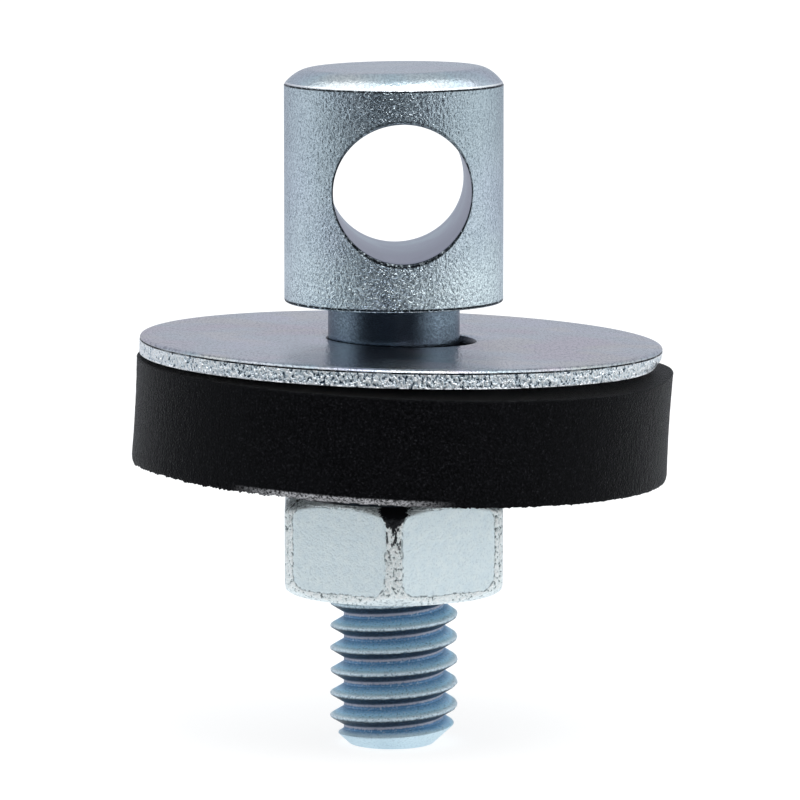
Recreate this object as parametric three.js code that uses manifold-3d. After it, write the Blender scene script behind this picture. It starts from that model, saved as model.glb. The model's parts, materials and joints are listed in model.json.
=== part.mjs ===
// Drilled-head eye bolt with a wide flat washer, a thick rubber washer and a hex nut on its stud.
// Millimetres, +Z up. The origin is the centre of the flat lower end of the stud, and the cross
// hole in the head runs along Y.
import * as THREE from "three";
import { mergeVertices } from "three/addons/utils/BufferGeometryUtils.js";
import Module from "manifold-3d";

const wasm = await Module();
wasm.setup();

// ---------------------------------------------------------------- driving dimensions

// Thread: 5/16 inch, 18 threads to the inch, right-hand, 60 degree flanks
const PITCH = 25.4 / 18;
const CREST_RADIUS = 3.95;
const ROOT_RADIUS = 3.1;
const CREST_FLAT = PITCH / 8;
const FLANK_SLOPE = Math.tan(THREE.MathUtils.degToRad(30));
const CREST_HEIGHT_AT_X = 0.975;  // height of one crest where the thread passes the +X side
const RIDGE_SINK = 0.04;          // how far the thread's foot is sunk into the core
const STEPS_PER_TURN = 24;

// Bolt
const HEAD_RADIUS = 6.72;
const HEAD_TOP = 41.85;
const HEAD_BOTTOM = 27.5;
const HEAD_CROWN = [[5.3, 0], [5.75, 0.12], [6.25, 0.46], [6.6, 0.92]];   // [radius, drop below the top]
const HEAD_CROWN_DROP = 1.08;
const HEAD_LOWER_BREAK = 0.15;
const NECK_RADIUS = 4.05;
const NECK_BOTTOM = 22.4;
const NECK_FILLET = 0.2;
const STUD_END_RADIUS = 2.65;
const STUD_END_BEVEL = 1.2;
const EYE_RADIUS = 4.2;
const EYE_ASIDE = 0.32;            // how far the eye is drilled off centre, to +X
const EYE_HEIGHT = 34.65;

// Flat washer, loose on the neck
const WASHER_RADIUS = 16.08;
const WASHER_BORE = 4.6;
const WASHER_THICKNESS = 1.17;
const WASHER_EDGE_BREAK = 0.12;
const WASHER_TOP = new THREE.Vector3(0.46, -0.018, 25.14);
const WASHER_LEAN = THREE.MathUtils.degToRad(1.515);
const WASHER_BEARING = THREE.MathUtils.degToRad(15.8);

// Rubber washer, leaning below it
const RUBBER_RADIUS = 16.5;
const RUBBER_BORE = 5.1;
const RUBBER_THICKNESS = 6.25;
const RUBBER_EDGE_BREAK = 0.25;
const RUBBER_TOP = new THREE.Vector3(0.696, 0.122, 23.5);
const RUBBER_LEAN = THREE.MathUtils.degToRad(2.67);
const RUBBER_BEARING = THREE.MathUtils.degToRad(-0.5);

// Hex nut
const NUT_ACROSS_FLATS = 13.35;
const NUT_BOTTOM = 9.59;
const NUT_HEIGHT = 6.08;
const NUT_CHAMFER_RADIUS = 6.6;
const NUT_CHAMFER_SLOPE = Math.tan(THREE.MathUtils.degToRad(32));
const NUT_MOUTH = 0.35;           // how far the bore's mouths open beyond the thread
const NUT_TURN = THREE.MathUtils.degToRad(-2.3);
const CREST_CLEARANCE = 0.15;
const FLANK_CLEARANCE = 0.09;

// Roundness of the turned pieces
const TURNED_SIDES = 48;
const RING_SIDES = 64;
const EYE_SIDES = 32;

// ---------------------------------------------------------------- solids

// A closed geometry as a manifold solid.
function solid(geometry) {
  geometry.deleteAttribute("normal");
  geometry.deleteAttribute("uv");
  const merged = mergeVertices(geometry);
  const index = merged.getIndex().array;
  const triangles = [];
  for (let i = 0; i < index.length; i += 3) {
    const [a, b, c] = [index[i], index[i + 1], index[i + 2]];
    if (a !== b && b !== c && c !== a) triangles.push(a, b, c);
  }
  const vertProperties = new Float32Array(merged.getAttribute("position").array);
  const triVerts = new Uint32Array(triangles);
  return new wasm.Manifold(new wasm.Mesh({ numProp: 3, vertProperties, triVerts }));
}

// A solid turned about Z from [radius, height] points, which run up its outside.
function turned(points, sides) {
  const profile = points.map(([radius, height]) => new THREE.Vector2(radius, height));
  return solid(new THREE.LatheGeometry(profile, sides).rotateX(Math.PI / 2));
}

// A ring about Z whose top face is at height 0, with a small break on its outer edges.
function ring(outer, bore, thickness, edgeBreak) {
  const low = -thickness;
  return turned([
    [bore, low],
    [outer - edgeBreak, low],
    [outer, low + edgeBreak],
    [outer, -edgeBreak],
    [outer - edgeBreak, 0],
    [bore, 0],
    [bore, low],
  ], RING_SIDES);
}

// A right-hand helix about Z. Sections along it stay in planes through the axis:
// their x points away from the axis and their y points down.
class ThreadPath extends THREE.Curve {
  constructor(radius, firstTurn, turns) {
    super();
    this.radius = radius;
    this.firstTurn = firstTurn;
    this.turns = turns;
    this.arcLengthDivisions = Math.round(turns * STEPS_PER_TURN);
  }

  angle(t) {
    return 2 * Math.PI * (this.firstTurn + this.turns * t);
  }

  getPoint(t, target = new THREE.Vector3()) {
    const angle = this.angle(t);
    const height = CREST_HEIGHT_AT_X + PITCH * angle / (2 * Math.PI);
    return target.set(this.radius * Math.cos(angle), this.radius * Math.sin(angle), height);
  }

  computeFrenetFrames(segments) {
    const frames = { tangents: [], normals: [], binormals: [] };
    for (let i = 0; i <= segments; i += 1) {
      const angle = this.angle(i / segments);
      frames.tangents.push(new THREE.Vector3(-Math.sin(angle), Math.cos(angle), 0));
      frames.normals.push(new THREE.Vector3(Math.cos(angle), Math.sin(angle), 0));
      frames.binormals.push(new THREE.Vector3(0, 0, -1));
    }
    return frames;
  }
}

// A threaded rod from one height to another, thickened by the given clearances.
function threadedRod(low, high, radialClearance, flankClearance) {
  const root = ROOT_RADIUS + radialClearance;
  const crest = CREST_RADIUS + radialClearance;
  const halfCrest = CREST_FLAT / 2 + flankClearance;
  const halfFoot = halfCrest + (crest - root + RIDGE_SINK) * FLANK_SLOPE;
  const section = new THREE.Shape();
  section.moveTo(-RIDGE_SINK, -halfFoot);
  section.lineTo(crest - root, -halfCrest);
  section.lineTo(crest - root, halfCrest);
  section.lineTo(-RIDGE_SINK, halfFoot);
  section.closePath();

  const firstTurn = Math.floor((low - CREST_HEIGHT_AT_X) / PITCH) - 1;
  const turns = Math.ceil((high - low) / PITCH) + 2;
  const steps = turns * STEPS_PER_TURN;
  const extrudePath = new ThreadPath(root, firstTurn, turns);
  const ridge = solid(new THREE.ExtrudeGeometry(section, { steps, extrudePath }));
  const reach = 2 * PITCH;
  const core = turned([[0, low - reach], [root, low - reach], [root, high + reach], [0, high + reach]],
    STEPS_PER_TURN);
  const slice = turned([[0, low], [2 * crest, low], [2 * crest, high], [0, high]], STEPS_PER_TURN);
  return core.add(ridge).intersect(slice);
}

// ---------------------------------------------------------------- pieces

// Head, neck and threaded stud in one, with the eye drilled across the head.
function eyeBolt() {
  const crown = HEAD_CROWN.map(([radius, drop]) => [radius, HEAD_TOP - drop]).reverse();
  const headAndNeck = turned([
    [0, NECK_BOTTOM],
    [NECK_RADIUS - NECK_FILLET, NECK_BOTTOM],
    [NECK_RADIUS, NECK_BOTTOM + NECK_FILLET],
    [NECK_RADIUS, HEAD_BOTTOM - NECK_FILLET],
    [NECK_RADIUS + NECK_FILLET, HEAD_BOTTOM],
    [HEAD_RADIUS - HEAD_LOWER_BREAK, HEAD_BOTTOM],
    [HEAD_RADIUS, HEAD_BOTTOM + HEAD_LOWER_BREAK],
    [HEAD_RADIUS, HEAD_TOP - HEAD_CROWN_DROP],
    ...crown,
    [0, HEAD_TOP],
  ], TURNED_SIDES);
  const bevelSlope = (CREST_RADIUS - STUD_END_RADIUS) / STUD_END_BEVEL;
  const studOutline = turned([
    [0, 0],
    [STUD_END_RADIUS, 0],
    [STUD_END_RADIUS + 2 * STUD_END_BEVEL * bevelSlope, 2 * STUD_END_BEVEL],
    [STUD_END_RADIUS + 2 * STUD_END_BEVEL * bevelSlope, HEAD_BOTTOM],
    [0, HEAD_BOTTOM],
  ], TURNED_SIDES);
  const stud = threadedRod(0, NECK_BOTTOM + PITCH, 0, 0).intersect(studOutline);
  const eyeLength = 3 * HEAD_RADIUS;
  const eye = new THREE.CylinderGeometry(EYE_RADIUS, EYE_RADIUS, eyeLength, EYE_SIDES);
  return headAndNeck.add(stud).subtract(solid(eye.translate(EYE_ASIDE, 0, EYE_HEIGHT)));
}

// Hexagonal prism with both faces chamfered round its corners and a threaded bore.
function hexNut() {
  const corner = NUT_ACROSS_FLATS / Math.sqrt(3);
  const top = NUT_BOTTOM + NUT_HEIGHT;
  const prism = new THREE.CylinderGeometry(corner, corner, NUT_HEIGHT, 6);
  prism.rotateX(Math.PI / 2).rotateZ(NUT_TURN).translate(0, 0, NUT_BOTTOM + NUT_HEIGHT / 2);
  const blank = solid(prism);
  const reach = corner + 1 - NUT_CHAMFER_RADIUS;
  const drop = reach * NUT_CHAMFER_SLOPE;
  const chamfer = turned([
    [0, NUT_BOTTOM],
    [NUT_CHAMFER_RADIUS, NUT_BOTTOM],
    [NUT_CHAMFER_RADIUS + reach, NUT_BOTTOM + drop],
    [NUT_CHAMFER_RADIUS + reach, top - drop],
    [NUT_CHAMFER_RADIUS, top],
    [0, top],
  ], TURNED_SIDES);
  const bore = threadedRod(NUT_BOTTOM - PITCH, top + PITCH, CREST_CLEARANCE, FLANK_CLEARANCE);
  const mouth = CREST_RADIUS + CREST_CLEARANCE + NUT_MOUTH;
  const lowerMouth = turned([
    [0, NUT_BOTTOM - 1],
    [mouth + 1, NUT_BOTTOM - 1],
    [0, NUT_BOTTOM + mouth],
  ], TURNED_SIDES);
  const upperMouth = turned([
    [0, top - mouth],
    [mouth + 1, top + 1],
    [0, top + 1],
  ], TURNED_SIDES);
  return blank.intersect(chamfer).subtract(bore).subtract(lowerMouth).subtract(upperMouth);
}

// ---------------------------------------------------------------- scene graph

function material(color, roughness, metalness) {
  return new THREE.MeshStandardMaterial({ color, roughness, metalness });
}

function mesh(name, body, finish) {
  const { vertProperties, triVerts } = body.getMesh();
  const geometry = new THREE.BufferGeometry();
  geometry.setAttribute("position", new THREE.BufferAttribute(vertProperties, 3));
  geometry.setIndex(new THREE.BufferAttribute(triVerts, 1));
  geometry.computeVertexNormals();
  const piece = new THREE.Mesh(geometry, finish);
  piece.name = name;
  return piece;
}

// Stands a ring on the stud, leaning down towards its bearing.
function leaning(piece, place, lean, bearing) {
  const seat = new THREE.Group();
  seat.position.copy(place);
  seat.rotation.z = bearing;
  piece.rotation.y = lean;
  seat.add(piece);
  return seat;
}

const boltMesh = mesh("eye_bolt", eyeBolt(), material(0xb9c3ca, 0.32, 1));

const washerBody = ring(WASHER_RADIUS, WASHER_BORE, WASHER_THICKNESS, WASHER_EDGE_BREAK);
const washerMesh = mesh("flat_washer", washerBody, material(0xb4bcc8, 0.28, 1));

const rubberBody = ring(RUBBER_RADIUS, RUBBER_BORE, RUBBER_THICKNESS, RUBBER_EDGE_BREAK);
const rubberMesh = mesh("rubber_washer", rubberBody, material(0x141517, 0.85, 0));

const nutMesh = mesh("hex_nut", hexNut(), material(0xc8d2d6, 0.36, 1));

const assembly = new THREE.Group();
assembly.add(boltMesh);
assembly.add(leaning(washerMesh, WASHER_TOP, WASHER_LEAN, WASHER_BEARING));
assembly.add(leaning(rubberMesh, RUBBER_TOP, RUBBER_LEAN, RUBBER_BEARING));
assembly.add(nutMesh);

export default assembly;
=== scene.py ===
import json
import math

import bmesh
import bpy
import numpy as np
from mathutils import Matrix, Vector, noise


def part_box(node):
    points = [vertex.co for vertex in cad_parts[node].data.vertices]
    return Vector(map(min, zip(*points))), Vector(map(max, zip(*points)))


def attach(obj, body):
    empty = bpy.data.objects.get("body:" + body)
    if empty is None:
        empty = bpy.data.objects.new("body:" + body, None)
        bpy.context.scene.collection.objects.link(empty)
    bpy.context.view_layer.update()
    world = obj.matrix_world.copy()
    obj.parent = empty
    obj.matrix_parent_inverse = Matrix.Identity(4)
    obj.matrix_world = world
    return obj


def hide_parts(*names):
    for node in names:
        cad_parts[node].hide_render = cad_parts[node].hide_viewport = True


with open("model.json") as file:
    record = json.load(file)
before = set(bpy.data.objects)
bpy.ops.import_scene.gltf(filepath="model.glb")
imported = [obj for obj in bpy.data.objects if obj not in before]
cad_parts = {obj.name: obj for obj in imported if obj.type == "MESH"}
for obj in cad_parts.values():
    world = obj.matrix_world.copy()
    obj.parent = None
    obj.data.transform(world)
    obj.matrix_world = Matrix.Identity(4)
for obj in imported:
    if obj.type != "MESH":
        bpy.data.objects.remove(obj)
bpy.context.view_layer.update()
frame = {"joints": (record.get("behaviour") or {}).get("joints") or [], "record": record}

MM = 0.001
WHITE = (1.0, 1.0, 1.0)
# Near-black for painted shade on the nut.
PAINTED_SHADE = (0.012, 0.013, 0.016)


# ---------------------------------------------------------------- driving dimensions, in millimetres

def node_box(node):
    """The lowest and highest corner of a CAD node."""
    return tuple(np.array(corner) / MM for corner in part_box(node))


BOLT_LOW, BOLT_HIGH = node_box("eye_bolt")
NUT_LOW, NUT_HIGH = node_box("hex_nut")
EYE = next(m for m in frame["record"]["mounts"] if m["name"] == "rope_eye")
WASHER_JOINT = next(j for j in frame["joints"] if j["name"] == "washer_spin")

COLUMNS = 144                      # vertices round the bolt
WALL_ROWS = 48                     # rows up the head's wall
WASHER_COLUMNS = 1200
RUBBER_COLUMNS = 1440
PITCH = 25.4 / 18
CREST_RADIUS = 3.95
ROOT_RADIUS = 3.1
CREST_HEIGHT_AT_X = 0.975
FLANK_SLOPE = math.tan(math.radians(30))
CREST_EASE = 0.03                  # how far a crest's edges are rounded off
THREAD_RUNOUT = 0.7                # the thread starts to fade into the neck this far below it
RUNOUT_SLOPE = 1.1

HEAD_RADIUS = (BOLT_HIGH[0] - BOLT_LOW[0]) / 2
HEAD_TOP = BOLT_HIGH[2]
HEAD_BOTTOM = 27.5
CROWN_DROP = 1.06
CROWN_FLAT_RADIUS = 5.0
CROWN_SHOULDER_RADIUS = 5.92
CROWN_TILT = 0.013                 # the crown rises this much to +X for each millimetre
HEAD_LOWER_BREAK = 0.16
NECK_RADIUS = 4.05
NECK_FILLET = 0.2
NECK_BOTTOM = 22.4
STUD_END_RADIUS = 2.65
STUD_END_BEVEL = 1.2
STUD_END_ASIDE = 0.16              # the bevel is cut a little off centre, to -X
EYE_RADIUS = 4.2
EYE_ASIDE = EYE["pos_m"][0] / MM
EYE_HEIGHT = EYE["pos_m"][2] / MM
EYE_SIDE_ROUND = 0.03              # how far the eye's edge is eased at its sides
EYE_END_ROUND = {-1: 0.2, 1: 0.06} # and at its top and bottom, at the front and at the back

WASHER_RADIUS = 16.08
WASHER_BORE = 4.6
WASHER_THICKNESS = 1.17
WASHER_GROOVE_DROP = 0.235         # a groove runs round the rim this far below the upper face
RUBBER_RADIUS = 16.5
RUBBER_BORE = 5.1
RUBBER_THICKNESS = 6.25
RUBBER_LEAN = math.radians(2.67)
RUBBER_BEARING = math.radians(-0.5)
RUBBER_UNEVEN = math.radians(-2.3) # bearing towards which the disc's faces bend up
RUBBER_DROOP = 0.2                 # how far the lower face hangs down at the -X end
RUBBER_LIFT = 0.36                 # and how far the upper face stands up at the +X end
BROKEN_BEARING = -0.27             # middle of the broken lower edge, turned from the front to +X
BROKEN_REACH = 0.42                # and how far it goes to either side, in radians too

NUT_ACROSS_FLATS = 13.35
NUT_CORNER_ROUND = 0.75
NUT_CHAMFER_RADIUS = 6.6
NUT_CHAMFER_SLOPE = math.tan(math.radians(32))
NUT_TURN = math.radians(-2.3)
NUT_MOUTH = 0.35
NUT_PANEL_MARGIN = 0.62            # width of the eased border round each flat
NUT_PANEL_RAISED = 0.2             # the panels sit this much above the middle and are taller by it
NUT_PANEL_CORNER = 1.0
NUT_PANEL_EASE = 1.5               # radius of the border's fall
THREAD_CLEARANCE = 0.13

CAMERA_DISTANCE = 344.0
CAMERA_PITCH = math.radians(7.6)
CAMERA_AZIMUTH = math.radians(-2.3)
CAMERA_AIM_HEIGHT = 21.34
CAMERA_ASIDE = 0.38
CAMERA_LENS = 253.8
GAP_TURN = math.radians(-8.0)      # where the dark gap in the room stands, from the camera


# ---------------------------------------------------------------- mesh building

class Skin:
    """Collects loops of points and the faces between them."""

    def __init__(self):
        self.points = []
        self.faces = []

    def loop(self, points):
        """Adds points and returns their indices."""
        start = len(self.points)
        self.points.extend(tuple(p) for p in points)
        return list(range(start, len(self.points)))

    def bands(self, loops):
        """Quads between each loop and the next, all of equal length."""
        for lower, upper in zip(loops, loops[1:]):
            for i in range(len(lower)):
                j = (i + 1) % len(lower)
                self.faces.append((lower[i], lower[j], upper[j], upper[i]))

    def fan(self, loop, centre):
        """Triangles from a loop to one point."""
        (tip,) = self.loop([centre])
        for i, index in enumerate(loop):
            self.faces.append((index, loop[(i + 1) % len(loop)], tip))

    def build(self, name, sharp_angle, place=None):
        """A smooth-shaded object of this skin, welded and facing out, whose edges are sharp where they
        turn by more than sharp_angle degrees. place is a 4 x 4 matrix."""
        mesh = bpy.data.meshes.new(name)
        mesh.from_pydata([tuple(c * MM for c in p) for p in self.points], [], self.faces)
        body = bmesh.new()
        body.from_mesh(mesh)
        bmesh.ops.remove_doubles(body, verts=body.verts, dist=0.0005 * MM)
        bmesh.ops.recalc_face_normals(body, faces=body.faces)
        body.to_mesh(mesh)
        body.free()
        mesh.shade_smooth()
        mesh.set_sharp_from_angle(angle=math.radians(sharp_angle))
        piece = bpy.data.objects.new(name, mesh)
        if place is not None:
            piece.matrix_world = place
        bpy.context.scene.collection.objects.link(piece)
        return piece


def polar(radius, angle, height):
    return (radius * math.cos(angle), radius * math.sin(angle), height)


def circle(radius, height, angles):
    return [polar(radius, a, height) for a in angles]


def even_angles(count):
    return [2 * math.pi * i / count for i in range(count)]


def curve_points(start, pull, end, steps):
    """Points on a curve from start to end that is pulled towards a third point."""
    start, pull, end = (np.array(p, float) for p in (start, pull, end))
    out = []
    for t in np.linspace(0, 1, steps + 1):
        out.append(tuple((1 - t) ** 2 * start + 2 * t * (1 - t) * pull + t ** 2 * end))
    return out


def grain(point, size):
    """Smooth noise between -1 and 1 whose features are about size across."""
    return noise.noise(Vector(point) / size)


def soft_minimum(first, second, width):
    """The smaller of two numbers, eased where they are closer than width."""
    blend = max(width - abs(first - second), 0) / width
    return min(first, second) - blend ** 2 * width / 4


# ---------------------------------------------------------------- thread

def ridge_halves(crest, root):
    """Half of the ridge's width at its crest and at its foot."""
    half_crest = PITCH / 16
    return half_crest, half_crest + (crest - root) * FLANK_SLOPE


def thread_radius(offset, crest, root):
    """Radius at an axial offset from the middle of a crest: a 60 degree ridge with eased edges."""
    half_crest, half_foot = ridge_halves(crest, root)
    distance = abs((offset + PITCH / 2) % PITCH - PITCH / 2)
    if distance < half_crest:
        return crest - CREST_EASE * (distance / half_crest) ** 2
    if distance > half_foot:
        return root
    along = (distance - half_crest) / (half_foot - half_crest)
    return crest - CREST_EASE + (root + CREST_EASE - crest) * along


def above_crest(angle, height):
    """How far a height is above the thread's crest at an angle."""
    return height - (CREST_HEIGHT_AT_X + PITCH * angle / (2 * math.pi))


def thread_rows(crest, root):
    """Axial offsets of the rows of one pitch, closest together at the crest and the foot."""
    half_crest, half_foot = ridge_halves(crest, root)
    half = [half_crest * 0.5, half_crest, half_crest + 0.03]
    half += list(np.linspace(half_crest + 0.09, half_foot - 0.05, 6))
    half += [half_foot, (half_foot + PITCH / 2) / 2]
    return sorted([0.0] + half + [-d for d in half] + [PITCH / 2])


def helical_sheet(skin, angles, low, high, radius_at, rows):
    """A threaded surface between two level loops, which it returns. radius_at takes an angle and a
    height, and rows are the axial offsets that repeat every pitch."""
    first = math.floor((low - CREST_HEIGHT_AT_X) / PITCH) - 2
    last = math.ceil((high - CREST_HEIGHT_AT_X) / PITCH) + 1
    offsets = [CREST_HEIGHT_AT_X + k * PITCH + row for k in range(first, last) for row in rows]
    margin = 0.004
    columns = []
    for angle in angles:
        rise = PITCH * angle / (2 * math.pi)
        column = {}
        for j, offset in enumerate(offsets):
            height = offset + rise
            if low + margin < height < high - margin:
                (column[j],) = skin.loop([polar(radius_at(angle, height), angle, height)])
        columns.append(column)
    columns.append({j - len(rows): index for j, index in columns[0].items()})  # one turn on
    bottom = skin.loop([polar(radius_at(a, low), a, low) for a in angles])
    top = skin.loop([polar(radius_at(a, high), a, high) for a in angles])
    for i in range(len(angles)):
        left, right = columns[i], columns[i + 1]
        k = (i + 1) % len(angles)
        shared = sorted(set(left) & set(right))
        for j in shared[:-1]:
            skin.faces.append((left[j], right[j], right[j + 1], left[j + 1]))
        lowest, highest = shared[0], shared[-1]
        under = [left[j] for j in sorted(left, reverse=True) if j < lowest]
        under_right = [right[j] for j in sorted(right) if j < lowest]
        lower = [left[lowest]] + under + [bottom[i], bottom[k]] + under_right + [right[lowest]]
        skin.faces.append(tuple(lower))
        over = [left[j] for j in sorted(left, reverse=True) if j > highest]
        over_right = [right[j] for j in sorted(right) if j > highest]
        upper = [right[highest]] + over_right + [top[k], top[i]] + over + [left[highest]]
        skin.faces.append(tuple(upper))
    return bottom, top


# ---------------------------------------------------------------- eye bolt

def eye_round(side, bearing):
    """How far the eye's edge is eased at a bearing about its axis. A deburring tool bites first where
    the wall stands furthest out, at the top and the bottom."""
    return EYE_SIDE_ROUND + (EYE_END_ROUND[side] - EYE_SIDE_ROUND) * math.sin(bearing) ** 2


def eye_half(skin, side, low, high):
    """Half of the head's wall with the eye's mouth in it. side is -1 at the front and 1 at the back.
    It returns the loop where the mouth meets the straight bore."""
    corners = [(-1, -1), (1, -1), (1, 1), (-1, 1)]
    frame_points = []
    for k, count in enumerate([COLUMNS // 2, WALL_ROWS, COLUMNS // 2, WALL_ROWS]):
        (u0, v0), (u1, v1) = corners[k], corners[(k + 1) % 4]
        for i in range(count):
            frame_points.append((u0 + (u1 - u0) * i / count, v0 + (v1 - v0) * i / count))
    middle, half = (low + high) / 2, (high - low) / 2

    def on_wall(turn, height):
        return (HEAD_RADIUS * math.sin(turn), side * HEAD_RADIUS * math.cos(turn), height)

    def mouth_point(b):
        """Turn and height of the mouth's rim, where the easing starts."""
        mouth = EYE_RADIUS + eye_round(side, b)
        turn = math.asin((EYE_ASIDE + mouth * math.cos(b)) / HEAD_RADIUS)
        return turn, EYE_HEIGHT + mouth * math.sin(b)

    bearings = [math.atan2(v, u) for u, v in frame_points]
    inner = [mouth_point(b) for b in bearings]
    outer = [(u * math.pi / 2, middle + v * half) for u, v in frame_points]
    loops = []
    for w in np.linspace(1, 0, 15):
        spread = w ** 1.4
        loops.append(skin.loop([
            on_wall(a[0] + (b[0] - a[0]) * spread, a[1] + (b[1] - a[1]) * spread)
            for a, b in zip(inner, outer)
        ]))
    for t in np.linspace(0.2, 1, 5):
        ring = []
        for b in bearings:
            start = np.array(on_wall(*mouth_point(b)))
            x = EYE_ASIDE + EYE_RADIUS * math.cos(b)
            depth = math.sqrt(HEAD_RADIUS ** 2 - x ** 2)
            corner = np.array([x, side * depth, EYE_HEIGHT + EYE_RADIUS * math.sin(b)])
            end = corner - np.array([0, side * eye_round(side, b), 0])
            ring.append((1 - t) ** 2 * start + 2 * t * (1 - t) * corner + t ** 2 * end)
        loops.append(skin.loop(ring))
    skin.bands(loops)
    return loops[-1]


def eye_bolt():
    """The bolt in one piece: crowned head with its eye, neck and threaded stud."""
    skin = Skin()
    angles = even_angles(COLUMNS)
    wall_low = HEAD_BOTTOM + HEAD_LOWER_BREAK
    wall_high = HEAD_TOP - CROWN_DROP
    front = eye_half(skin, -1, wall_low, wall_high)
    back = eye_half(skin, 1, wall_low, wall_high)
    bore = [front]
    for t in np.linspace(0, 1, 13)[1:-1]:
        bore.append(skin.loop([
            np.array(skin.points[a]) * (1 - t) + np.array(skin.points[b]) * t for a, b in zip(front, back)
        ]))
    skin.bands(bore + [back])

    crease = [(0, 0), (0.03, 0.02), (0.05, 0.05), (0.045, 0.08)]
    crown = [(HEAD_RADIUS - inset, wall_high + rise) for inset, rise in crease]
    crown += curve_points((HEAD_RADIUS - 0.05, wall_high + 0.12), (CROWN_SHOULDER_RADIUS, HEAD_TOP),
                          (CROWN_FLAT_RADIUS, HEAD_TOP), 14)
    crown += [(r, HEAD_TOP) for r in (4.2, 3.2, 2.2, 1.2, 0.5)]
    loops = []
    for radius, height in crown:
        tilt = CROWN_TILT * radius * (height - wall_high) / CROWN_DROP
        level = circle(radius, height, angles)
        loops.append(skin.loop([(x, y, z + tilt * x / radius) for x, y, z in level]))
    skin.bands(loops)
    skin.fan(loops[-1], (0, 0, HEAD_TOP))

    under = curve_points((HEAD_RADIUS, wall_low), (HEAD_RADIUS, HEAD_BOTTOM),
                         (HEAD_RADIUS - HEAD_LOWER_BREAK, HEAD_BOTTOM), 4)
    under += [(5.8, HEAD_BOTTOM), (5.0, HEAD_BOTTOM)]
    under += curve_points((NECK_RADIUS + NECK_FILLET, HEAD_BOTTOM), (NECK_RADIUS, HEAD_BOTTOM),
                          (NECK_RADIUS, HEAD_BOTTOM - NECK_FILLET), 4)
    neck_low = NECK_BOTTOM + 0.6
    under += [(NECK_RADIUS, z) for z in np.linspace(HEAD_BOTTOM - NECK_FILLET, neck_low, 6)[1:-1]]
    loops = [skin.loop(circle(r, z, angles)) for r, z in under]

    def radius_at(angle, height):
        radius = thread_radius(above_crest(angle, height), CREST_RADIUS, ROOT_RADIUS)
        spot = polar(CREST_RADIUS, angle, height)
        proud = max(radius - ROOT_RADIUS, 0) / (CREST_RADIUS - ROOT_RADIUS)
        radius -= proud ** 3 * (0.02 + 0.04 * grain(spot, 0.25) + 0.03 * grain(spot, 0.8))
        runout = ROOT_RADIUS + (height - NECK_BOTTOM + THREAD_RUNOUT) * RUNOUT_SLOPE
        radius = max(radius, min(NECK_RADIUS, runout))
        bevel = STUD_END_RADIUS + height * (CREST_RADIUS - STUD_END_RADIUS) / STUD_END_BEVEL
        bevel -= STUD_END_ASIDE * math.cos(angle)
        return soft_minimum(radius, bevel, 0.12)

    rows = thread_rows(CREST_RADIUS, ROOT_RADIUS)
    bottom, top = helical_sheet(skin, angles, 0.0, neck_low, radius_at, rows)
    skin.bands(loops + [top])
    ends = [bottom] + [skin.loop(circle(r, 0, angles)) for r in (2.2, 1.5, 0.8)]
    skin.bands(ends)
    skin.fan(ends[-1], (0, 0, 0))
    return skin.build("eye_bolt_turned", 32)


# ---------------------------------------------------------------- hex nut

def nut_angles():
    """Angles round the nut, closest together at its corners."""
    steps = 52
    out = []
    for sector in range(6):
        for i in range(steps):
            u = 2 * i / steps - 1
            out.append(NUT_TURN + math.radians(60 * sector + 30 * (1.35 * u - 0.35 * u ** 3)))
    return out


def panel_distance(u, v):
    """Distance outside the flat panel of a nut's side, u along it and v up from its middle."""
    half_width = NUT_ACROSS_FLATS / 2 * math.tan(math.radians(30)) - NUT_PANEL_MARGIN - NUT_PANEL_CORNER
    half_height = (NUT_HIGH[2] - NUT_LOW[2]) / 2 - NUT_PANEL_MARGIN - NUT_PANEL_CORNER + NUT_PANEL_RAISED
    x, y = abs(u) - half_width, abs(v - NUT_PANEL_RAISED) - half_height
    return math.hypot(max(x, 0), max(y, 0)) + min(max(x, y), 0) - NUT_PANEL_CORNER


def hexagon_radius(angle, height):
    """Distance from the axis to the nut's side: a hexagon with rounded corners, whose flats face +X
    and its turns, and whose flats fall away round their borders."""
    apothem = NUT_ACROSS_FLATS / 2
    rounding = NUT_CORNER_ROUND
    half_flat = (apothem - rounding) * math.tan(math.radians(30))
    off = (angle - NUT_TURN + math.radians(30)) % math.radians(60) - math.radians(30)
    along = apothem * math.tan(off)
    if abs(along) <= half_flat:
        wall = apothem / math.cos(off)
    else:
        centre = (apothem - rounding) / math.cos(math.radians(30))
        turn = math.radians(30) - abs(off)
        wall = centre * math.cos(turn) + math.sqrt(rounding ** 2 - (centre * math.sin(turn)) ** 2)
    outside = min(max(panel_distance(along, height), 0), 0.9)
    fall = NUT_PANEL_EASE - math.sqrt(NUT_PANEL_EASE ** 2 - outside ** 2)
    step = 0.018 * min(outside / 0.07, 1)
    return wall - (fall + step) / math.cos(off)


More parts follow.
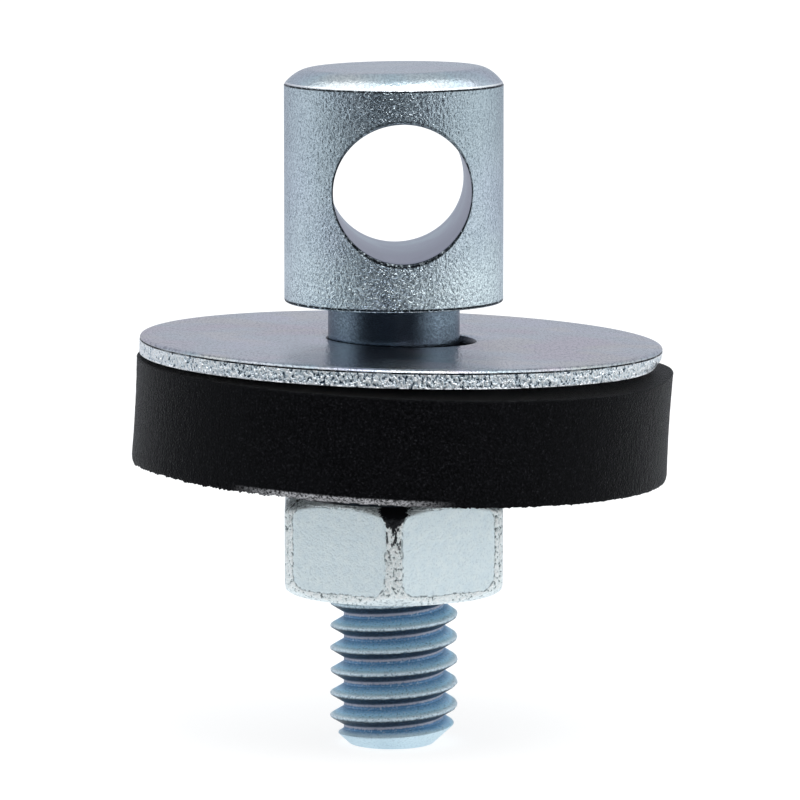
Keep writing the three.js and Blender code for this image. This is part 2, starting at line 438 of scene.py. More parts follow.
def hex_nut():
    """The nut: rounded corners, flats with eased borders, chamfered faces and a real thread."""
    skin = Skin()
    angles = nut_angles()
    low, high = NUT_LOW[2], NUT_HIGH[2]
    middle = (low + high) / 2
    crest = CREST_RADIUS + THREAD_CLEARANCE
    root = ROOT_RADIUS + THREAD_CLEARANCE
    mouth = crest + NUT_MOUTH

    # Rows above the lower face, closest together over the chamfer and the flats' borders.
    rises = [0.0, 0.02, 0.05, 0.09, 0.14, 0.2, 0.27, 0.34, 0.42, 0.5, 0.57, 0.64, 0.7, 0.78, 0.9]
    rises += [1.1, 1.4, 1.75] + list(np.linspace(2.1, (high - low) / 2, 4))
    heights = [low + rise for rise in rises] + [high - rise for rise in rises[-2::-1]]
    loops = [skin.loop(circle(NUT_CHAMFER_RADIUS - 0.14, low, angles))]
    for height in heights:
        rise = min(height - low, high - height)
        cone = NUT_CHAMFER_RADIUS - 0.04 + rise / NUT_CHAMFER_SLOPE
        loop = []
        for a in angles:
            radius = soft_minimum(hexagon_radius(a, height - middle), cone, 0.22)
            loop.append(polar(radius, a, height))
        loops.append(skin.loop(loop))
    loops.append(skin.loop(circle(NUT_CHAMFER_RADIUS - 0.14, high, angles)))
    skin.bands(loops)

    def radius_at(angle, height):
        radius = thread_radius(above_crest(angle, height), crest, root)
        depth = (high - low) / 2 - abs(height - middle)
        return max(radius, mouth - depth)

    bottom, top = helical_sheet(skin, angles, low, high, radius_at, thread_rows(crest, root))
    for rim, edge, height in ((loops[0], bottom, low), (loops[-1], top, high)):
        faces = [edge] + [skin.loop(circle(r, height, angles)) for r in (mouth + 0.1, 5.3)] + [rim]
        skin.bands(faces)
    return skin.build("hex_nut_forged", 32)


# ---------------------------------------------------------------- rings

def leaning_place(node, axis):
    """The placing of a ring that stands about the given axis, centred in its node's box."""
    low, high = node_box(node)
    up = Vector(axis).normalized()
    side = Vector((0, 1, 0)).cross(up).normalized()
    place = Matrix((side, up.cross(side), up)).transposed().to_4x4()
    place.translation = Vector((low + high) / 2) * MM
    return place


def ring_skin(profile, columns, wear):
    """A closed ring of a [radius, height] profile about Z. wear takes the index of the profile point
    and the point, and returns (outward, upward) shifts."""
    skin = Skin()
    loops = []
    for k, (radius, height) in enumerate(profile):
        points = []
        for a in even_angles(columns):
            out, lift = wear(k, polar(radius, a, height))
            points.append(polar(radius + out, a, height + lift))
        loops.append(skin.loop(points))
    skin.bands(loops + [loops[0]])
    return skin


def flat_washer():
    """A blanked washer: rolled upper edge with a groove under it, and a rough torn rim."""
    half = WASHER_THICKNESS / 2
    rim = WASHER_RADIUS
    top = [(r, half) for r in (WASHER_BORE + 0.1, 5.4, 7.0, 9.0, 11.5, 14.0, rim - 0.7, rim - 0.5)]
    roll = curve_points((rim - 0.38, half), (rim - 0.07, half - 0.01), (rim - 0.03, half - 0.17), 8)
    roll += [(rim - 0.06, half - 0.2), (rim - 0.07, half - WASHER_GROOVE_DROP), (rim - 0.05, half - 0.26)]
    torn = [(rim, z) for z in np.linspace(half - 0.29, -half + 0.13, 13)]
    under = [(rim - 0.03, -half + 0.05), (rim - 0.1, -half)]
    under += [(r, -half) for r in (rim - 0.6, 14.0, 11.0, 8.0, 5.5)]
    bore = [(WASHER_BORE + 0.06, -half)]
    bore += [(WASHER_BORE, z) for z in (-half + 0.06, 0.0, half - 0.08)]
    profile = top + roll + torn + under + bore
    first = len(top) + len(roll)
    last = first + len(torn) - 1

    def wear(k, point):
        """The torn rim's pits and ridges, and its lower corner worn away to +X."""
        corner = max(point[0] / rim - 0.8, 0) / 0.2
        worn = 0.42 * corner ** 2 * min(max(0.1 - point[2], 0) / half, 1) ** 1.5
        if last < k <= last + 2:
            return -worn, 0.0
        if not first <= k <= last:
            return 0.0, 0.0
        coarse = grain(point, 0.55)
        fine = grain((point[0], point[1], point[2] * 0.6 + 5), 0.2)
        grit = grain((point[1], point[2], point[0]), 0.15)
        fade = min(1.0, (k - first + 0.5) / 2)
        return -0.02 - worn - fade * (0.025 * (1 + coarse) + 0.06 * fine + 0.05 * grit), 0.0

    place = leaning_place("flat_washer", WASHER_JOINT["axis"])
    return ring_skin(profile, WASHER_COLUMNS, wear).build("flat_washer_blanked", 60, place)


def rubber_washer():
    """A disc cut from sheet rubber: sharp upper edge, slightly bowed wall and a ragged lower edge."""
    half = RUBBER_THICKNESS / 2
    rim = RUBBER_RADIUS
    top = [(r, half) for r in (RUBBER_BORE + 0.12, 6.5, 9.0, 12.0, 15.0, rim - 0.4)]
    lip = [(rim - 0.08, half), (rim - 0.03, half - 0.02), (rim, half - 0.07), (rim - 0.02, half - 0.16)]
    wall = [(rim - 0.02 - 0.05 * math.sin(math.pi * t), half - 0.24 - t * (2 * half - 0.6))
            for t in np.linspace(0, 1, 26)]
    ragged = [(rim - 0.02, -half + rise) for rise in (0.3, 0.22, 0.14, 0.07)] + [(rim - 0.03, -half)]
    under = [(rim - 0.5, -half), (13.0, -half), (10.0, -half), (7.0, -half)]
    bore = [(RUBBER_BORE + 0.12, -half)]
    bore += [(RUBBER_BORE, z) for z in (-half + 0.15, 0.0, half - 0.15)]
    profile = top + lip + wall + ragged + under + bore
    first_wall = len(top) + len(lip)
    first_ragged = first_wall + len(wall)
    last_ragged = first_ragged + len(ragged) - 1

    def warp(point):
        """How far a point is out of place: the disc is a little thicker at the front, droops at its -X
        end, stands up at its +X end and was cut aslant. Returns shifts along X, Y and Z."""
        aside = point[0] * math.cos(RUBBER_UNEVEN) + point[1] * math.sin(RUBBER_UNEVEN)
        droop = max(-aside / RUBBER_RADIUS - 0.8, 0) / 0.2
        lower = 0.0033 * aside + 0.0045 * point[1] - RUBBER_DROOP * min(droop, 1) ** 2
        lift = max(aside / RUBBER_RADIUS - 0.75, 0) / 0.25
        upper = 0.004 * aside + RUBBER_LIFT * min(lift, 1) ** 2
        share = (point[2] + half) / (2 * half)
        return -0.07 * (1 - share), 0.0, lower + (upper - lower) * share

    def wear(k, point):
        """A fine grain on the wall. Its lower edge is torn into short tufts, and is broken away to a
        rough bevel in front, to -X of the middle."""
        if first_wall <= k < first_ragged:
            return 0.012 * grain(point, 0.35) + 0.012 * grain(point, 0.2), 0.0
        if first_ragged <= k <= last_ragged:
            share = (k - first_ragged + 1) / len(ragged)
            tuft = grain((point[0], point[1], 3.0), 0.12) + 0.4 * grain((point[0], point[1], 9.0), 0.5)
            facing = math.atan2(point[0], -point[1])
            broken = max(1 - abs(facing - BROKEN_BEARING) / BROKEN_REACH, 0) ** 0.5
            inset = share ** 2 * (0.05 + 0.36 * broken)
            length = 0.11 - 0.05 * point[0] / rim
            return 0.02 * tuft - inset, share * (length * tuft - 0.02)
        return 0.0, 0.0

    axis = polar(math.sin(RUBBER_LEAN), RUBBER_BEARING, math.cos(RUBBER_LEAN))
    skin = ring_skin(profile, RUBBER_COLUMNS, wear)
    skin.points = [tuple(np.array(p) + warp(p)) for p in skin.points]
    return skin.build("rubber_washer_cut", 45, leaning_place("rubber_washer", axis))


# ---------------------------------------------------------------- materials

class Graph:
    """The shader nodes of a material or a world."""

    def __init__(self, tree):
        self.nodes = tree.nodes
        self.links = tree.links

    def wire(self, value, socket):
        """Links a socket, or sets a number or a colour."""
        if isinstance(value, bpy.types.NodeSocket):
            self.links.new(value, socket)
        elif isinstance(value, tuple) and len(value) == 3 and len(socket.default_value) == 4:
            socket.default_value = (*value, 1)
        else:
            socket.default_value = value

    def math(self, operation, *values):
        node = self.nodes.new("ShaderNodeMath")
        node.operation = operation
        for value, socket in zip(values, node.inputs):
            self.wire(value, socket)
        return node.outputs["Value"]

    def spread(self, value, low, high, to_low=0.0, to_high=1.0):
        """Value from low..high mapped smoothly to to_low..to_high."""
        node = self.nodes.new("ShaderNodeMapRange")
        node.interpolation_type = "SMOOTHSTEP"
        names = ("From Min", "From Max", "To Min", "To Max")
        for name, number in zip(names, (low, high, to_low, to_high)):
            node.inputs[name].default_value = number
        self.links.new(value, node.inputs["Value"])
        return node.outputs["Result"]

    def mix(self, factor, first, second):
        """Two colours mixed by a factor, which is a number or a socket."""
        node = self.nodes.new("ShaderNodeMix")
        node.data_type = "RGBA"
        for index, value in ((0, factor), (6, first), (7, second)):  # its sockets for colours
            self.wire(value, node.inputs[index])
        return node.outputs[2]


class Shader(Graph):
    """A node material with a Principled surface, in the object's own millimetres."""

    def __init__(self, name):
        self.material = bpy.data.materials.new(name)
        self.material.use_nodes = True
        super().__init__(self.material.node_tree)
        self.surface = self.nodes["Principled BSDF"]
        coordinates = self.nodes.new("ShaderNodeTexCoord").outputs["Object"]
        scale = self.nodes.new("ShaderNodeVectorMath")
        scale.operation = "SCALE"
        scale.inputs["Scale"].default_value = 1 / MM
        self.links.new(coordinates, scale.inputs[0])
        self.place = scale.outputs["Vector"]
        axes = self.nodes.new("ShaderNodeSeparateXYZ")
        self.links.new(self.place, axes.inputs["Vector"])
        self.x, self.y, self.z = axes.outputs
        normal = self.nodes.new("ShaderNodeSeparateXYZ")
        self.links.new(coordinates.node.outputs["Normal"], normal.inputs["Vector"])
        self.level = normal.outputs["Z"]   # 1 on a face that looks straight up, 0 on an upright one

    def hypot(self, first, second):
        square = self.math("MULTIPLY", first, first)
        return self.math("SQRT", self.math("ADD", square, self.math("MULTIPLY", second, second)))

    def noise(self, size, detail=2.0, stretch=(1, 1, 1), rough=0.5):
        """Noise whose features are about size across, longer where stretch is less than 1."""
        mapping = self.nodes.new("ShaderNodeMapping")
        mapping.inputs["Scale"].default_value = stretch
        texture = self.nodes.new("ShaderNodeTexNoise")
        texture.inputs["Scale"].default_value = 1 / size
        texture.inputs["Detail"].default_value = detail
        texture.inputs["Roughness"].default_value = rough
        self.links.new(self.place, mapping.inputs["Vector"])
        self.links.new(mapping.outputs["Vector"], texture.inputs["Vector"])
        return texture.outputs["Fac"]

    def line(self, value, place, half_width):
        """1 where value is at place, falling to 0 at half_width to either side."""
        distance = self.math("ABSOLUTE", self.math("SUBTRACT", value, place))
        return self.spread(distance, half_width, half_width * 0.4)

    def times(self, *values):
        product = values[0]
        for value in values[1:]:
            product = self.math("MULTIPLY", product, value)
        return product

    def ramp(self, value, stops):
        """Colour of a value through (position, colour) stops."""
        node = self.nodes.new("ShaderNodeValToRGB")
        elements = node.color_ramp.elements
        while len(elements) < len(stops):
            elements.new(0.5)
        for element, (position, color) in zip(elements, stops):
            element.position = position
            element.color = (*color, 1)
        self.links.new(value, node.inputs["Fac"])
        return node.outputs["Color"]

    def between(self, factor, first, second):
        """Two numbers mixed by a factor."""
        node = self.nodes.new("ShaderNodeMix")
        for socket, value in zip(node.inputs[:1] + node.inputs[2:4], (factor, first, second)):
            self.wire(value, socket)
        return node.outputs[0]

    def bump(self, height, depth):
        """Adds a bump layer below those already made. depth is in millimetres."""
        node = self.nodes.new("ShaderNodeBump")
        node.inputs["Distance"].default_value = depth * MM
        self.links.new(height, node.inputs["Height"])
        socket = self.surface.inputs["Normal"]
        if socket.is_linked:
            self.links.new(socket.links[0].from_socket, node.inputs["Normal"])
        self.links.new(node.outputs["Normal"], socket)

    def feed(self, **sockets):
        """Links or sets the surface's sockets, named with underscores for spaces."""
        for name, value in sockets.items():
            self.wire(value, self.surface.inputs[name.replace("_", " ")])


def bolt_zinc():
    """Blue-white zinc on the bolt. The head is coarsely grained, with painted reflections and painted
    shade lines on it. The neck is smooth, with painted shade that makes it darker. The thread is bluer,
    with painted highlights on the crests, pinkish roots and painted shade on its lower flanks."""
    s = Shader("zinc_bolt")
    patches = s.noise(2.4, 3.0)
    film = s.noise(6.0, 2.0)
    pebble = s.noise(0.2, 2.0, rough=0.65)
    speck = s.noise(0.12, 2.0, rough=0.6)
    level_speck = s.noise(0.14, 2.0, (1, 0.4, 1))

    rise = s.math("SUBTRACT", s.z, HEAD_BOTTOM)
    head = s.ramp(patches, [(0.3, (0.54, 0.62, 0.67)), (0.7, (0.68, 0.76, 0.80))])
    head = s.mix(s.spread(film, 0.45, 0.75, 0.0, 0.5), head, (0.64, 0.68, 0.80))
    # Painted reflections on the head's wall: darker towards its top, lighter towards its bottom and
    # towards -X.
    head = s.mix(s.spread(rise, 4.5, 11.5, 0.0, 0.55), head, (0.42, 0.49, 0.53))
    head = s.mix(s.spread(rise, 4.5, 1.0, 0.0, 0.85), head, (0.88, 0.98, 1.0))
    head = s.mix(s.spread(s.x, -3.0, -6.0, 0.0, 0.3), head, (0.86, 0.94, 1.0))
    head = s.mix(s.spread(speck, 0.55, 0.34, 0.0, 0.7), head, (0.22, 0.27, 0.31))

    across = s.math("SUBTRACT", s.x, EYE_ASIDE)
    upright = s.math("SUBTRACT", s.z, EYE_HEIGHT)
    eye = s.hypot(across, upright)
    slope = s.math("DIVIDE", upright, s.math("MAXIMUM", eye, 0.1))
    deeper = EYE_END_ROUND[-1] - EYE_SIDE_ROUND
    ease = s.math("MULTIPLY_ADD", s.times(slope, slope), deeper, EYE_SIDE_ROUND)
    past = s.math("SUBTRACT", eye, EYE_RADIUS)
    beyond = s.math("SUBTRACT", past, ease)
    # Painted shade: dark lines along the eye's eased edge, weaker over its upper half, along the crown's
    # crease and along the head's lower edge, broken up by noise.
    broken = s.spread(s.noise(0.3, 2.0), 0.32, 0.5, 0.6, 1.0)
    edge = s.times(s.spread(past, 0.0, 0.03), s.spread(beyond, 0.10, 0.03), broken)
    edge = s.times(edge, s.spread(upright, 1.5, 3.6, 1.0, 0.55))
    crown_foot = HEAD_TOP - CROWN_DROP
    crease = s.times(s.line(s.z, crown_foot + 0.04, 0.085), broken)
    rim = s.times(s.line(s.z, HEAD_BOTTOM + 0.13, 0.1), s.spread(broken, 0.6, 0.9, 0.2, 1.0))
    painted_shade_lines = s.math("MAXIMUM", edge, s.math("MAXIMUM", crease, rim))
    bored = s.spread(past, 0.03, 0.005)
    # Painted shade in the eye's bore: darker towards the front, lighter towards the back, with lavender
    # patches.
    bore = s.mix(s.spread(s.y, -4.0, 6.4), (0.29, 0.30, 0.38), (0.56, 0.64, 0.69))
    head = s.mix(bored, head, s.mix(s.spread(patches, 0.4, 0.6, 0.0, 0.5), bore, (0.36, 0.36, 0.45)))
    on_crown = s.spread(s.z, crown_foot, crown_foot + 0.15)
    crown = s.ramp(film, [
        (0.35, (0.60, 0.63, 0.70)), (0.5, (0.56, 0.67, 0.72)), (0.65, (0.70, 0.73, 0.73)),
    ])
    crown = s.mix(s.spread(level_speck, 0.62, 0.34, 0.0, 0.45), crown, (0.30, 0.33, 0.37))
    # A painted highlight: a thin white line just above the crown's crease.
    painted_highlight = s.times(s.line(s.z, crown_foot + 0.15, 0.07), broken)
    head = s.mix(painted_highlight, s.mix(on_crown, head, crown), WHITE)
    # Paints the dark shade lines over the head.
    head = s.mix(painted_shade_lines, head, (0.02, 0.025, 0.03))

    # Painted shade: the neck, between the head and the washer, is much darker than the head, and lighter
    # towards -X.
    neck = s.ramp(patches, [(0.3, (0.16, 0.21, 0.26)), (0.7, (0.23, 0.29, 0.35))])
    neck = s.mix(s.spread(s.x, -1.5, -3.6, 0.0, 0.4), neck, (0.34, 0.41, 0.47))
    neck = s.mix(s.spread(speck, 0.6, 0.36, 0.0, 0.6), neck, (0.08, 0.11, 0.14))

    turn = s.math("DIVIDE", s.math("ARCTAN2", s.y, s.x), 2 * math.pi)
    climb = s.math("DIVIDE", s.math("SUBTRACT", s.z, CREST_HEIGHT_AT_X), PITCH)
    phase = s.math("FRACT", s.math("ADD", s.math("SUBTRACT", climb, turn), 0.5))
    phase = s.math("ADD", phase, s.math("MULTIPLY_ADD", speck, 0.14, -0.07))
    # The thread's colour by its phase paints light and shade: a painted highlight along the crests,
    # painted shade on the lower flanks, brighter upper flanks, and pinkish roots.
    thread = s.ramp(phase, [
        (0.00, (0.12, 0.20, 0.33)), (0.05, (0.40, 0.41, 0.48)), (0.12, (0.36, 0.37, 0.45)),
        (0.17, (0.04, 0.06, 0.09)), (0.25, (0.004, 0.010, 0.020)), (0.44, (0.004, 0.010, 0.020)),
        (0.51, (0.48, 0.60, 0.68)), (0.58, (0.80, 0.92, 0.98)), (0.64, (0.44, 0.68, 0.80)),
        (0.72, (0.42, 0.76, 1.0)), (0.84, (0.20, 0.46, 0.74)), (0.96, (0.07, 0.19, 0.37)),
    ])
    upper = s.times(s.spread(phase, 0.47, 0.54), s.spread(speck, 0.52, 0.68, 0.0, 0.55))
    thread = s.mix(upper, thread, (0.62, 0.76, 0.84))
    thread = s.mix(s.spread(speck, 0.48, 0.32, 0.0, 0.55), thread, (0.06, 0.13, 0.22))
    # Painted light: the stud end's bevel is painted pale, where it catches the light, and this pale paint
    # reaches higher towards the front (-Y).
    cone = s.ramp(patches, [(0.3, (0.54, 0.71, 0.81)), (0.7, (0.66, 0.83, 0.92))])
    cone = s.mix(s.spread(speck, 0.5, 0.34, 0.0, 0.4), cone, (0.30, 0.44, 0.54))
    from_cone = s.math("SUBTRACT", s.z, s.math("MULTIPLY", s.x, STUD_END_ASIDE / CREST_RADIUS))
    from_cone = s.math("MULTIPLY_ADD", s.y, 0.045, from_cone)
    on_cone = s.spread(from_cone, STUD_END_BEVEL - 0.15, STUD_END_BEVEL - 0.4)
    thread = s.mix(on_cone, thread, cone)

    in_head = s.spread(s.z, HEAD_BOTTOM - 0.06, HEAD_BOTTOM - 0.02)
    in_neck = s.spread(s.z, NECK_BOTTOM + 0.3, NECK_BOTTOM + 0.5)
    on_thread = s.math("SUBTRACT", 1.0, in_neck)
    color = s.mix(in_head, s.mix(in_neck, thread, neck), head)
    worn = s.between(in_neck, 0.42, 0.2)
    grained = s.between(bored, s.spread(patches, 0.3, 0.7, 0.24, 0.32), 0.28)
    grained = s.between(on_crown, grained, 0.17)
    s.feed(Base_Color=color, Roughness=s.between(in_head, worn, grained))
    s.feed(Metallic=s.spread(on_thread, 0.0, 1.0, 1.0, 0.25), Specular_Tint=(0.70, 0.71, 0.73, 1))
    flank = s.times(s.between(bored, 1.0, 0.08), s.between(on_crown, 1.0, 0.18))
    coarse = s.between(in_head, s.between(in_neck, 0.30, 0.12), flank)
    s.bump(s.times(pebble, coarse), 0.12)
    s.bump(s.times(s.noise(0.6, 2.0), coarse), 0.05)
    s.bump(s.noise(0.5, 2.0, (1, 1, 0.2)), 0.004)
    return s.material


def washer_zinc():
    """Bright zinc on rolled sheet: smooth faces with drifting violet and straw films and a fine
    grain along the sheet, and a torn rim with painted highlights and painted shade, and painted
    shade in the groove and round the bore."""
    s = Shader("zinc_washer")
    half = WASHER_THICKNESS / 2
    film = s.noise(7.0, 2.0)
    second = s.noise(4.5, 2.0)
    rolled = s.noise(0.15, 2.0, (1, 0.28, 1), 0.6)
    face = s.ramp(film, [
        (0.34, (0.46, 0.48, 0.58)), (0.47, (0.44, 0.51, 0.55)), (0.62, (0.55, 0.50, 0.56)),
    ])
    face = s.mix(s.spread(second, 0.5, 0.66, 0.0, 0.7), face, (0.55, 0.53, 0.49))
    face = s.mix(s.spread(rolled, 0.58, 0.34, 0.0, 0.62), face, (0.17, 0.18, 0.22))

    radius = s.hypot(s.x, s.y)
    tear = s.noise(0.17, 2.5, (1, 1, 0.7), 0.65)
    # Painted shade: the torn rim is darker towards the front and the back than at its ±X ends.
    front_back_shade = s.math("MULTIPLY_ADD", s.math("ABSOLUTE", s.y), -0.006, 0.065)
    streak = s.noise(0.9, 2.0, (1, 1, 1.4))
    # The rim's own mottling, with painted highlights and painted shade over its pits and ridges.
    rim = s.ramp(s.math("ADD", tear, front_back_shade), [
        (0.37, (0.03, 0.045, 0.07)), (0.44, (0.78, 0.88, 0.95)), (0.52, WHITE),
    ])
    rim = s.mix(s.spread(streak, 0.44, 0.32, 0.0, 0.3), rim, (0.40, 0.47, 0.55))
    # A painted highlight: a white line along the rim's lower edge.
    foot = s.spread(s.z, -half + 0.16, -half + 0.10)
    rim = s.mix(s.times(foot, s.spread(tear, 0.36, 0.44)), rim, WHITE)
    # Painted shade: a dark line in the groove under the rolled edge.
    groove = s.times(s.line(s.z, half - WASHER_GROOVE_DROP, 0.075), s.spread(streak, 0.3, 0.5, 0.55, 1.0))
    rim = s.mix(groove, rim, (0.01, 0.012, 0.016))
    outside = s.spread(radius, WASHER_RADIUS - 0.70, WASHER_RADIUS - 0.60)
    torn = s.times(outside, s.spread(s.z, half - 0.15, half - 0.19))
    torn = s.times(torn, s.spread(s.z, -half + 0.01, -half + 0.03))
    color = s.mix(torn, face, rim)
    # Painted shade: the bore's wall is darkened.
    color = s.mix(s.spread(radius, WASHER_BORE + 0.07, WASHER_BORE + 0.03), color, (0.03, 0.035, 0.045))
    s.feed(Base_Color=color, Metallic=1.0, Specular_Tint=(0.84, 0.83, 0.84, 1))
    s.feed(Roughness=s.between(torn, s.spread(film, 0.3, 0.7, 0.18, 0.25), 0.34))
    s.bump(s.times(tear, torn), 0.28)
    s.bump(s.times(rolled, s.between(torn, 1.0, 0.0)), 0.028)
    return s.material


def nut_zinc():
    """Pale zinc on a forged nut: finely mottled panels with lighter, rougher borders that are cracked
    and carry painted shade towards the upper corners, and painted shade on the upper face and top
    chamfer, where the rubber disc is above."""
    s = Shader("zinc_nut")
    apothem = NUT_ACROSS_FLATS / 2
    sector = math.radians(60)
    angle = s.math("SUBTRACT", s.math("ARCTAN2", s.y, s.x), NUT_TURN - sector / 2 - 4 * math.pi)
    off = s.math("SUBTRACT", s.math("MODULO", angle, sector), sector / 2)
    radius = s.hypot(s.x, s.y)
    along = s.math("ABSOLUTE", s.math("MULTIPLY", radius, s.math("SINE", off)))
    low, high = float(NUT_LOW[2]), float(NUT_HIGH[2])
    rise = s.math("ABSOLUTE", s.math("SUBTRACT", s.z, (low + high) / 2 + NUT_PANEL_RAISED))
    inset = NUT_PANEL_MARGIN + NUT_PANEL_CORNER
    half_flat = apothem * math.tan(sector / 2)
    right = s.math("SUBTRACT", along, half_flat - inset)
    above = s.math("SUBTRACT", rise, (high - low) / 2 + NUT_PANEL_RAISED - inset)
    corner = s.hypot(s.math("MAXIMUM", right, 0.0), s.math("MAXIMUM", above, 0.0))
    inner = s.math("MINIMUM", s.math("MAXIMUM", right, above), 0.0)
    wander = s.math("MULTIPLY_ADD", s.noise(0.7, 2.0), 0.24, -0.12)
    outside = s.math("ADD", s.math("SUBTRACT", s.math("ADD", corner, inner), NUT_PANEL_CORNER), wander)

    mottle = s.noise(0.5, 3.0, rough=0.6)
    grit = s.noise(0.13, 2.0, rough=0.6)
    rough = s.noise(0.22, 2.5, rough=0.65)
    panel = s.ramp(mottle, [(0.3, (0.79, 0.91, 0.96)), (0.7, (0.88, 0.98, 1.0))])
    panel = s.mix(s.spread(grit, 0.5, 0.3, 0.0, 0.5), panel, (0.58, 0.68, 0.74))
    border = s.ramp(rough, [
        (0.35, (0.14, 0.17, 0.18)), (0.44, (0.86, 0.94, 0.95)), (0.60, (0.97, 1.0, 1.0)),
    ])
    in_border = s.spread(outside, 0.0, 0.07)
    color = s.mix(in_border, panel, border)
    seam = s.times(s.line(outside, 0.01, 0.075), s.spread(s.noise(0.3, 2.0), 0.44, 0.62, 0.0, 0.8))
    color = s.mix(seam, color, (0.24, 0.29, 0.31))
    reach = s.math("ADD", s.math("SUBTRACT", high, s.z), s.math("SUBTRACT", half_flat, along))
    reach = s.math("ADD", reach, s.math("MULTIPLY_ADD", rough, 1.6, -0.8))
    aside = s.math("ABSOLUTE", s.x)
    reach = s.math("MULTIPLY_ADD", aside, 0.15, reach)
    crack = s.spread(s.noise(0.2, 2.5, (1, 1, 0.5)), 0.47, 0.41)
    crack = s.times(crack, s.spread(aside, 5.5, 2.5, 0.3, 1.0))
    color = s.mix(s.times(crack, in_border, s.spread(reach, 4.4, 2.2)), color, (0.02, 0.024, 0.03))
    # Painted shade: near-black at the top of the flats' borders next to their corners, under the rubber
    # disc, less towards ±X.
    corner_shade = s.spread(reach, 1.75, 1.45)
    color = s.mix(s.times(corner_shade, in_border), color, PAINTED_SHADE)
    faces = s.spread(s.math("ABSOLUTE", s.level), 0.34, 0.50)
    color = s.mix(faces, color, s.mix(s.spread(rough, 0.5, 0.36), (0.88, 0.96, 0.98), (0.44, 0.50, 0.52)))
    # Painted shade on the upward faces, the top chamfer and upper face, inside the chamfer circle and at
    # the shaded corners, under the rubber disc.
    inside_chamfer = s.spread(radius, NUT_CHAMFER_RADIUS - 0.1, NUT_CHAMFER_RADIUS - 0.2)
    top_shade = s.times(s.spread(s.level, 0.34, 0.50), s.math("MAXIMUM", corner_shade, inside_chamfer))
    color = s.mix(top_shade, color, PAINTED_SHADE)
    side = s.between(in_border, 0.42, 0.44)
    s.feed(Base_Color=color, Metallic=0.3, Roughness=s.between(faces, side, 0.30))
    s.bump(s.times(rough, in_border, s.math("SUBTRACT", 1.0, top_shade)), 0.16)
    s.bump(s.times(grit, s.between(in_border, 1.0, 0.3)), 0.032)
    s.bump(mottle, 0.02)
    return s.material


def black_rubber():
    """Matte black rubber: a fine grain with a little dust, and a painted highlight on the broken lower
    edge.
    """
    s = Shader("rubber_black")
    dust = s.noise(0.13, 2.5, rough=0.65)
    bloom = s.noise(3.0, 3.0)
    color = s.ramp(dust, [
        (0.42, (0.0008, 0.0008, 0.001)), (0.60, (0.004, 0.004, 0.005)), (0.78, (0.022, 0.022, 0.025)),
    ])
    color = s.mix(s.spread(bloom, 0.45, 0.8, 0.0, 0.4), color, (0.003, 0.003, 0.004))
    half = RUBBER_THICKNESS / 2
    # Painted highlight: the broken lower edge in front is painted speckled pale grey, as where it catches
    # light from below.
    facing = s.math("ARCTAN2", s.x, s.math("MULTIPLY", s.y, -1.0))
    broken = s.line(facing, BROKEN_BEARING, BROKEN_REACH + 0.02)
    at_rim = s.spread(s.hypot(s.x, s.y), RUBBER_RADIUS - 0.62, RUBBER_RADIUS - 0.5)
    torn = s.times(s.spread(s.z, -half + 0.34, -half + 0.20), at_rim, broken)
    grit = s.ramp(dust, [(0.40, (0.02, 0.02, 0.022)), (0.60, (0.42, 0.42, 0.44))])
    color = s.mix(torn, color, grit)
    s.feed(Base_Color=color, Roughness=s.spread(dust, 0.3, 0.7, 0.42, 0.6), Specular_IOR_Level=0.04)
    s.feed(Sheen_Weight=0.13, Sheen_Roughness=0.16)
    s.bump(dust, 0.10)
    return s.material


# ---------------------------------------------------------------- studio

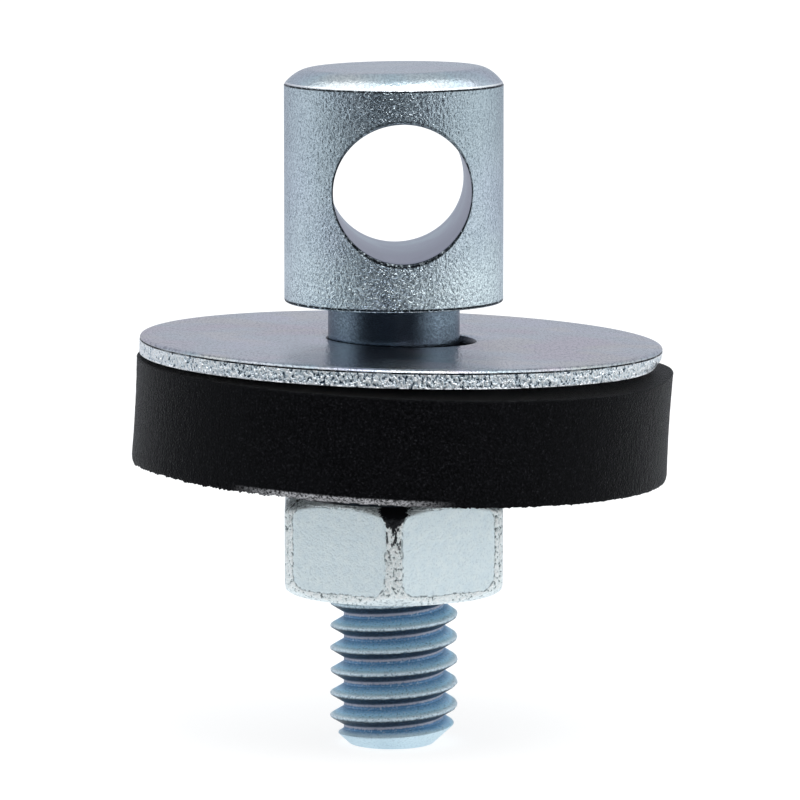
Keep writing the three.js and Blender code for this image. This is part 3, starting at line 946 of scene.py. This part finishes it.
def studio_world():
    """Soft light from all round, with a dark gap in front, and white where the camera sees it. Its
    limits are cosines of angles."""
    world = bpy.data.worlds.new("studio")
    world.use_nodes = True
    g = Graph(world.node_tree)
    g.nodes.clear()
    direction = g.nodes.new("ShaderNodeTexCoord").outputs["Generated"]

    def toward(vector):
        """Cosine of the angle between where a ray goes and a vector."""
        node = g.nodes.new("ShaderNodeVectorMath")
        node.operation = "DOT_PRODUCT"
        node.inputs[1].default_value = Vector(vector).normalized()
        g.links.new(direction, node.inputs[0])
        return node.outputs["Value"]

    height = toward((0, 0, 1))
    facing = toward((math.sin(CAMERA_AZIMUTH), -math.cos(CAMERA_AZIMUTH), 0))
    aside = toward((math.cos(CAMERA_AZIMUTH), math.sin(CAMERA_AZIMUTH), 0))
    level = g.math("ADD", g.math("MULTIPLY", facing, facing), g.math("MULTIPLY", aside, aside))
    level = g.math("SQRT", level)
    bearing = g.math("DIVIDE", facing, level)
    turned = CAMERA_AZIMUTH + GAP_TURN
    gap = g.math("DIVIDE", toward((math.sin(turned), -math.cos(turned), 0)), level)
    to_either_side = g.math("ABSOLUTE", aside)

    wall = g.mix(g.spread(bearing, -0.9, -0.2), (0.70, 0.73, 0.81), (0.88, 0.96, 1.02))
    color = g.mix(g.spread(aside, 0.3, 0.9), wall, (0.94, 1.01, 1.05))
    strip = g.math("MULTIPLY", g.spread(aside, 0.955, 0.99), g.spread(bearing, -0.12, 0.04))
    color = g.mix(strip, color, (1.35, 1.42, 1.46))
    dim = g.spread(gap, 0.12, 0.80)
    color = g.mix(dim, color, (0.02, 0.024, 0.034))
    color = g.mix(g.spread(height, 0.45, 0.65), color, (0.64, 0.69, 0.74))
    ahead = g.math("ADD", facing, g.math("MULTIPLY", to_either_side, 0.85))
    above = g.math("ADD", height, g.math("MULTIPLY", to_either_side, 0.35))
    lamp = g.math("MULTIPLY", g.spread(above, 0.80, 0.88), g.spread(ahead, -0.03, 0.06))
    color = g.mix(lamp, color, (1.55, 1.6, 1.64))
    below = g.mix(dim, (0.95, 1.03, 1.08), (0.36, 0.40, 0.43))
    color = g.mix(g.spread(height, -0.16, -0.5), color, below)

    shown = g.nodes.new("ShaderNodeLightPath").outputs["Is Camera Ray"]
    color = g.mix(shown, color, (0.99, 0.99, 0.99))
    background = g.nodes.new("ShaderNodeBackground")
    g.links.new(color, background.inputs["Color"])
    output = g.nodes.new("ShaderNodeOutputWorld")
    g.links.new(background.outputs["Background"], output.inputs["Surface"])
    bpy.context.scene.world = world


def floor():
    """A wide pale floor under the stud's end, clear when seen from below."""
    mesh = bpy.data.meshes.new("floor")
    reach = 6.0
    corners = [(-reach, -reach, 0), (reach, -reach, 0), (reach, reach, 0), (-reach, reach, 0)]
    mesh.from_pydata(corners, [], [(0, 1, 2, 3)])
    plane = bpy.data.objects.new("floor", mesh)
    bpy.context.scene.collection.objects.link(plane)
    plane.location.z = -0.02 * MM      # just clear of the stud's end
    shader = Shader("floor_pale")
    shader.feed(Base_Color=(0.28, 0.28, 0.28, 1), Roughness=0.9, Specular_IOR_Level=0.0)
    shader.feed(Emission_Color=(1, 1, 1, 1), Emission_Strength=0.8)
    side = shader.nodes.new("ShaderNodeNewGeometry").outputs["Backfacing"]
    shader.feed(Alpha=shader.math("SUBTRACT", 1.0, side))
    mesh.materials.append(shader.material)
    plane.visible_glossy = False


def softbox(name, place, size, power, mirrored=True):
    """A square area light that faces the object, and that bright metal mirrors or doesn't."""
    light = bpy.data.lights.new(name, "AREA")
    light.shape = "SQUARE"
    light.size = size
    light.energy = power
    lamp = bpy.data.objects.new(name, light)
    lamp.location = place
    middle = Vector((0, 0, 20 * MM))
    lamp.rotation_euler = (middle - Vector(place)).to_track_quat("-Z", "Y").to_euler()
    lamp.visible_camera = False
    lamp.visible_glossy = mirrored
    bpy.context.scene.collection.objects.link(lamp)


def camera():
    """The camera, a little above the head, looking down the front of the bolt."""
    back = Vector((math.sin(CAMERA_AZIMUTH), -math.cos(CAMERA_AZIMUTH), 0))
    right = Vector((math.cos(CAMERA_AZIMUTH), math.sin(CAMERA_AZIMUTH), 0))
    aim = Vector((0, 0, CAMERA_AIM_HEIGHT)) + right * CAMERA_ASIDE
    place = aim + back * CAMERA_DISTANCE + Vector((0, 0, CAMERA_DISTANCE * math.tan(CAMERA_PITCH)))
    data = bpy.data.cameras.new("camera")
    data.lens = CAMERA_LENS
    data.sensor_width = 36
    data.clip_start = 0.01
    data.clip_end = 50
    eye = bpy.data.objects.new("camera", data)
    eye.location = place * MM
    eye.rotation_euler = (aim - place).to_track_quat("-Z", "Y").to_euler()
    bpy.context.scene.collection.objects.link(eye)
    bpy.context.scene.camera = eye


# ---------------------------------------------------------------- assembly

def fit(piece, node, body, material):
    """The piece stands for its CAD node, rides on its body and wears a material."""
    piece.data.materials.append(material)
    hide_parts(node)
    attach(piece, body)


camera()
bpy.context.scene.view_settings.view_transform = "Standard"
studio_world()
floor()
softbox("key_above", (0.1, -0.35, 0.75), 0.5, 3.0)
softbox("fill_front", (-0.05, -0.5, 0.07), 0.4, 0.62, mirrored=False)

fit(eye_bolt(), "eye_bolt", "bolt", bolt_zinc())
fit(flat_washer(), "flat_washer", "flat_washer", washer_zinc())
fit(rubber_washer(), "rubber_washer", "rubber_washer", black_rubber())
fit(hex_nut(), "hex_nut", "nut", nut_zinc())
